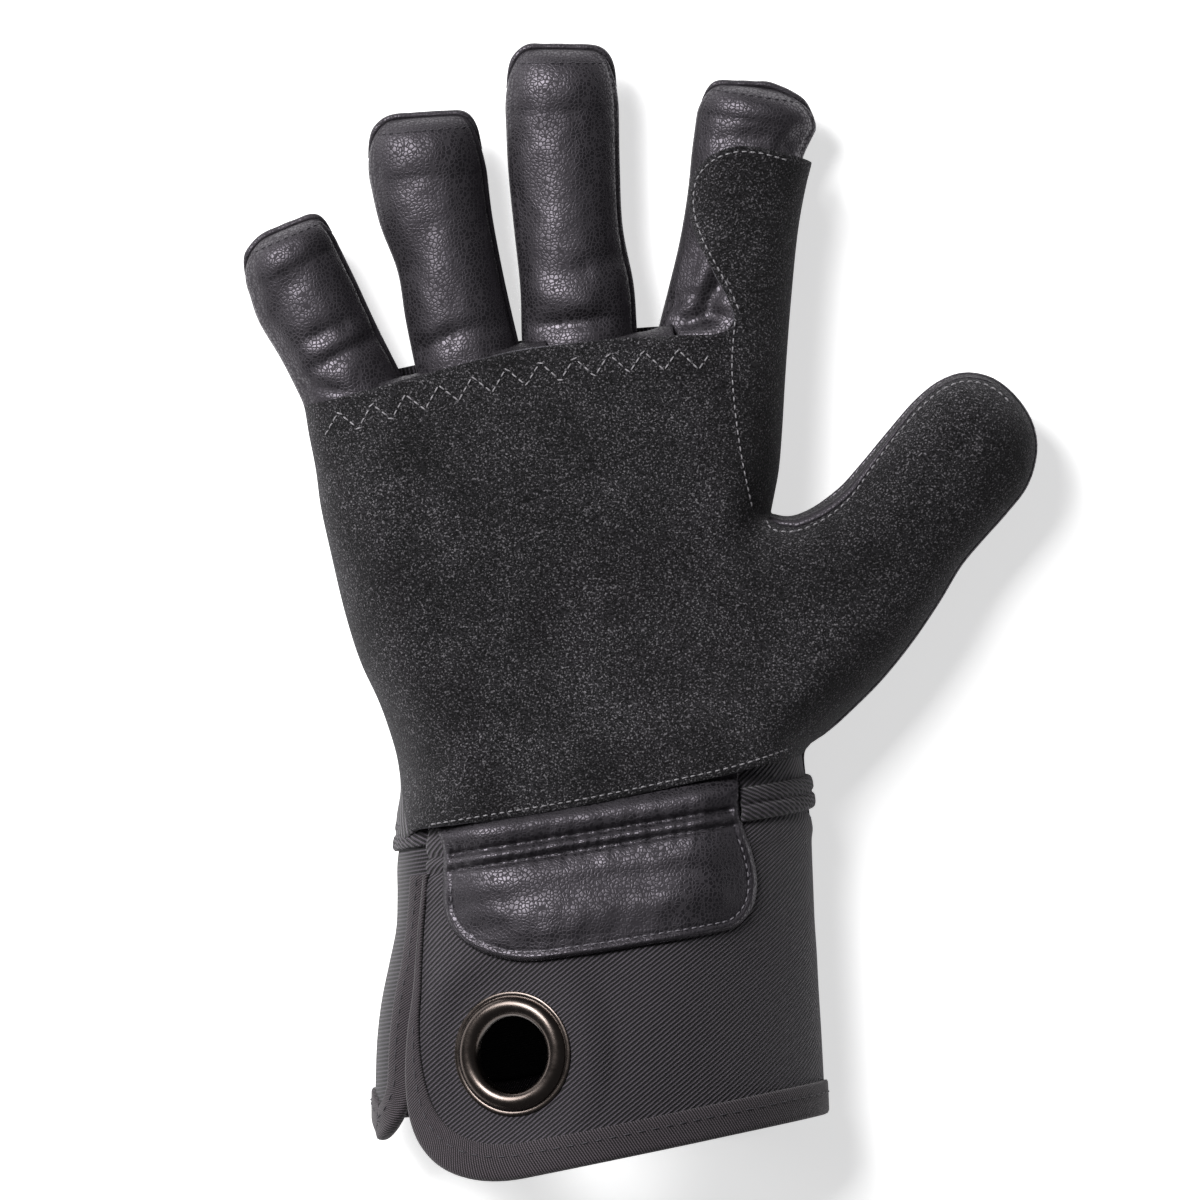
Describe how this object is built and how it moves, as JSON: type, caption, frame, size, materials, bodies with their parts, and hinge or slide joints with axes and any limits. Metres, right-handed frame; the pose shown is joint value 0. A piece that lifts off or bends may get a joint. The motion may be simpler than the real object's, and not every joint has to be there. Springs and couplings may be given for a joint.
{
  "type": "rope glove",
  "caption": "Right-hand leather rope-work glove with a suede palm, a slit gauntlet cuff and a large metal eyelet to hang it by.",
  "frame": {"origin": "middle of the bounding box in plan, on the surface that the back of the glove lies on", "axes": "+Y from the cuff towards the fingertips, +X towards the thumb, +Z out of the palm"},
  "size_m": [0.1964, 0.2818, 0.057],
  "materials": {
    "grain_leather": "satin pebbled grain",
    "suede": "matte nap",
    "stretch_fabric": "ribbed matte",
    "twill": "matte twill",
    "binding_tape": "matte tape",
    "eyelet_metal": "dark nickel"
  },
  "bodies": {
    "root": {"little_finger_stall": "grain_leather", "ring_finger_stall": "grain_leather", "middle_finger_stall": "grain_leather", "index_finger_stall": "grain_leather", "thumb_stall": "grain_leather", "palm_panel": "grain_leather", "back_panel": "stretch_fabric", "suede_palm": "suede", "cuff_panel": "twill", "cuff_binding": "binding_tape", "pulse_patch": "grain_leather", "eyelet": "eyelet_metal", "eyelet_washer": "eyelet_metal"}
  },
  "joints": []
}
